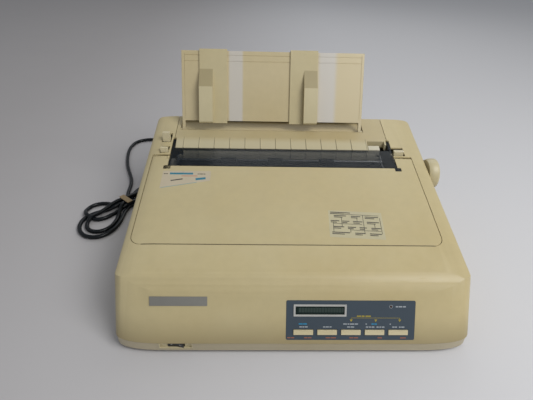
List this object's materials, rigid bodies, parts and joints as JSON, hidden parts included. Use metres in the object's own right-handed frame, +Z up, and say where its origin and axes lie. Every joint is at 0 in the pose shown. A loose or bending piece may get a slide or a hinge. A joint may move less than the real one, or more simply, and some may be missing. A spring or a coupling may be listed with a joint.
{
  "type": "dot matrix printer",
  "caption": "Desktop dot matrix printer with a hinged front cover, smoked window, lift-off rear cover, folding paper stand, platen with knob, control panel and a coiled power cord.",
  "frame": {"origin": "on the desk under the centre of the case, midway between its sides and between its front foot line and its back", "axes": "+X to the right seen from the front, +Y from the front to the back, +Z up"},
  "size_m": [0.6045, 0.5918, 0.2713],
  "materials": {
    "case_cream": "fine grain",
    "base_cream": "fine grain",
    "pale_cream": "satin",
    "foot_rubber": "matte",
    "smoked": "gloss",
    "panel_grey": "satin",
    "bezel_silver": "satin",
    "display": "gloss",
    "key_cream": "satin",
    "board_green": "satin",
    "plate_silver": "brushed",
    "switch_black": "satin",
    "frame_steel": "plated",
    "platen_rubber": "ground",
    "shaft_steel": "ground",
    "gear_nylon": "satin",
    "gear_brass": "cut",
    "motor_steel": "zinc plated",
    "bail_steel": "ground",
    "roller_rubber": "matte",
    "lever_cream": "satin",
    "guide_cream": "satin",
    "pan_steel": "satin",
    "carriage_black": "satin",
    "head_alloy": "cast",
    "ribbon_black": "satin",
    "belt_rubber": "matte",
    "core_iron": "lacquered",
    "port_grey": "satin",
    "cord_black": "satin",
    "tie_tan": "matte"
  },
  "bodies": {
    "case": {"lower_case": "base_cream", "feet": "foot_rubber", "upper_case": "case_cream", "control_panel": "panel_grey", "display_frame": "bezel_silver", "display_glass": "display", "key_board": "board_green", "nameplate": "plate_silver", "switch_frame": "pale_cream", "side_frame_left": "frame_steel", "side_frame_right": "frame_steel", "feed_motor": "motor_steel", "exit_guide": "guide_cream", "paper_pan": "pan_steel", "carriage_rod": "shaft_steel", "front_rail": "frame_steel", "drive_belt": "belt_rubber", "carriage_motor": "motor_steel", "main_board": "board_green", "transformer": "core_iron", "port_socket": "port_grey", "cord_bushing": "cord_black", "power_cord": "cord_black", "cord_hank": "cord_black", "cord_tie": "tie_tan", "cord_plug": "cord_black"},
    "front_cover": {"front_cover": "case_cream"},
    "rear_cover": {"rear_cover": "case_cream"},
    "window": {"smoked_window": "smoked"},
    "stand": {"paper_stand": "case_cream"},
    "guide_left": {"guide_left": "pale_cream"},
    "guide_right": {"guide_right": "pale_cream"},
    "key_1": {"key_1": "key_cream"},
    "key_2": {"key_2": "key_cream"},
    "key_3": {"key_3": "key_cream"},
    "key_4": {"key_4": "key_cream"},
    "key_5": {"key_5": "key_cream"},
    "rocker": {"power_rocker": "switch_black"},
    "platen": {"platen": "platen_rubber", "platen_shaft": "shaft_steel", "platen_knob": "pale_cream", "platen_gear": "gear_nylon"},
    "idler": {"idler_gear": "gear_nylon"},
    "pinion": {"feed_pinion": "gear_brass"},
    "bail": {"paper_bail": "bail_steel"},
    "rollers": {"bail_rollers": "roller_rubber"},
    "release_lever": {"release_lever": "lever_cream"},
    "gap_lever": {"gap_lever": "lever_cream"},
    "carriage": {"carriage": "carriage_black", "print_head": "head_alloy", "ribbon_cartridge": "ribbon_black"},
    "ribbon_knob": {"ribbon_knob": "gear_nylon"},
    "drive_pulley": {"drive_pulley": "gear_nylon"},
    "tail_pulley": {"belt_pulley": "gear_nylon"}
  },
  "joints": [
    {"name": "front_cover_hinge", "type": "hinge", "parent": "case", "child": "front_cover", "pos_m": [0, 0.0796, 0.13237], "axis": [-1, 0, 0], "range_deg": [0, 70]},
    {"name": "rear_cover_lift", "type": "slide", "parent": "case", "child": "rear_cover", "axis": [0, 0, 1], "range_m": [0, 0.045]},
    {"name": "window_hinge", "type": "hinge", "parent": "rear_cover", "child": "window", "pos_m": [0, 0.1206, 0.14101], "axis": [-1, 0, 0], "range_deg": [0, 95]},
    {"name": "stand_fold", "type": "hinge", "parent": "rear_cover", "child": "stand", "pos_m": [0, 0.1526, 0.14903], "axis": [-1, 0, 0], "range_deg": [0, 40]},
    {"name": "guide_left_slide", "type": "slide", "parent": "stand", "child": "guide_left", "axis": [1, 0, 0], "range_m": [-0.024, 0.04]},
    {"name": "guide_right_slide", "type": "slide", "parent": "stand", "child": "guide_right", "axis": [1, 0, 0], "range_m": [-0.06, 0.068]},
    {"name": "key_1_press", "type": "slide", "parent": "case", "child": "key_1", "axis": [0, 0.8695, -0.4939], "range_m": [0, 0.0012], "stiffness_N_per_m": 400},
    {"name": "key_2_press", "type": "slide", "parent": "case", "child": "key_2", "axis": [0, 0.8695, -0.4939], "range_m": [0, 0.0012], "stiffness_N_per_m": 400},
    {"name": "key_3_press", "type": "slide", "parent": "case", "child": "key_3", "axis": [0, 0.8695, -0.4939], "range_m": [0, 0.0012], "stiffness_N_per_m": 400},
    {"name": "key_4_press", "type": "slide", "parent": "case", "child": "key_4", "axis": [0, 0.8695, -0.4939], "range_m": [0, 0.0012], "stiffness_N_per_m": 400},
    {"name": "key_5_press", "type": "slide", "parent": "case", "child": "key_5", "axis": [0, 0.8695, -0.4939], "range_m": [0, 0.0012], "stiffness_N_per_m": 400},
    {"name": "power_rocker_tilt", "type": "hinge", "parent": "case", "child": "rocker", "pos_m": [-0.147, -0.1793, 0.01335], "axis": [0, 0, 1], "range_deg": [0, 14]},
    {"name": "platen_spin", "type": "hinge", "parent": "case", "child": "platen", "pos_m": [0, 0.0756, 0.11228], "axis": [1, 0, 0], "continuous": true},
    {"name": "idler_spin", "type": "hinge", "parent": "case", "child": "idler", "pos_m": [0, 0.0606, 0.0863], "axis": [1, 0, 0], "continuous": true},
    {"name": "pinion_spin", "type": "hinge", "parent": "case", "child": "pinion", "pos_m": [0, 0.0606, 0.0673], "axis": [1, 0, 0], "continuous": true},
    {"name": "bail_swing", "type": "hinge", "parent": "case", "child": "bail", "pos_m": [0, 0.09516, 0.10051], "axis": [-1, 0, 0], "range_deg": [0, 12]},
    {"name": "bail_roller_spin", "type": "hinge", "parent": "bail", "child": "rollers", "pos_m": [0, 0.08216, 0.12851], "axis": [1, 0, 0], "continuous": true},
    {"name": "release_lever_swing", "type": "hinge", "parent": "case", "child": "release_lever", "pos_m": [-0.198, 0.1356, 0.10028], "axis": [-1, 0, 0], "range_deg": [0, 11]},
    {"name": "gap_lever_swing", "type": "hinge", "parent": "case", "child": "gap_lever", "pos_m": [-0.198, 0.0976, 0.08228], "axis": [-1, 0, 0], "range_deg": [0, 6]},
    {"name": "carriage_slide", "type": "slide", "parent": "case", "child": "carriage", "axis": [1, 0, 0], "range_m": [0, 0.2]},
    {"name": "ribbon_knob_turn", "type": "hinge", "parent": "carriage", "child": "ribbon_knob", "pos_m": [-0.111, 0.0006, 0.09428], "axis": [0, 0, 1], "continuous": true},
    {"name": "drive_pulley_spin", "type": "hinge", "parent": "case", "child": "drive_pulley", "pos_m": [-0.158, 0.0116, 0.07628], "axis": [0, 0, -1], "range_deg": [0, 1319]},
    {"name": "tail_pulley_spin", "type": "hinge", "parent": "case", "child": "tail_pulley", "pos_m": [0.138, 0.0116, 0.07628], "axis": [0, 0, -1], "range_deg": [0, 1319]}
  ],
  "couplings": [
    {"joint": "idler_spin", "follows": "platen_spin", "ratio": -1.5},
    {"joint": "pinion_spin", "follows": "platen_spin", "ratio": 2.5714},
    {"joint": "drive_pulley_spin", "follows": "carriage_slide", "rad_per_m": 114.94},
    {"joint": "tail_pulley_spin", "follows": "carriage_slide", "rad_per_m": 114.94}
  ]
}
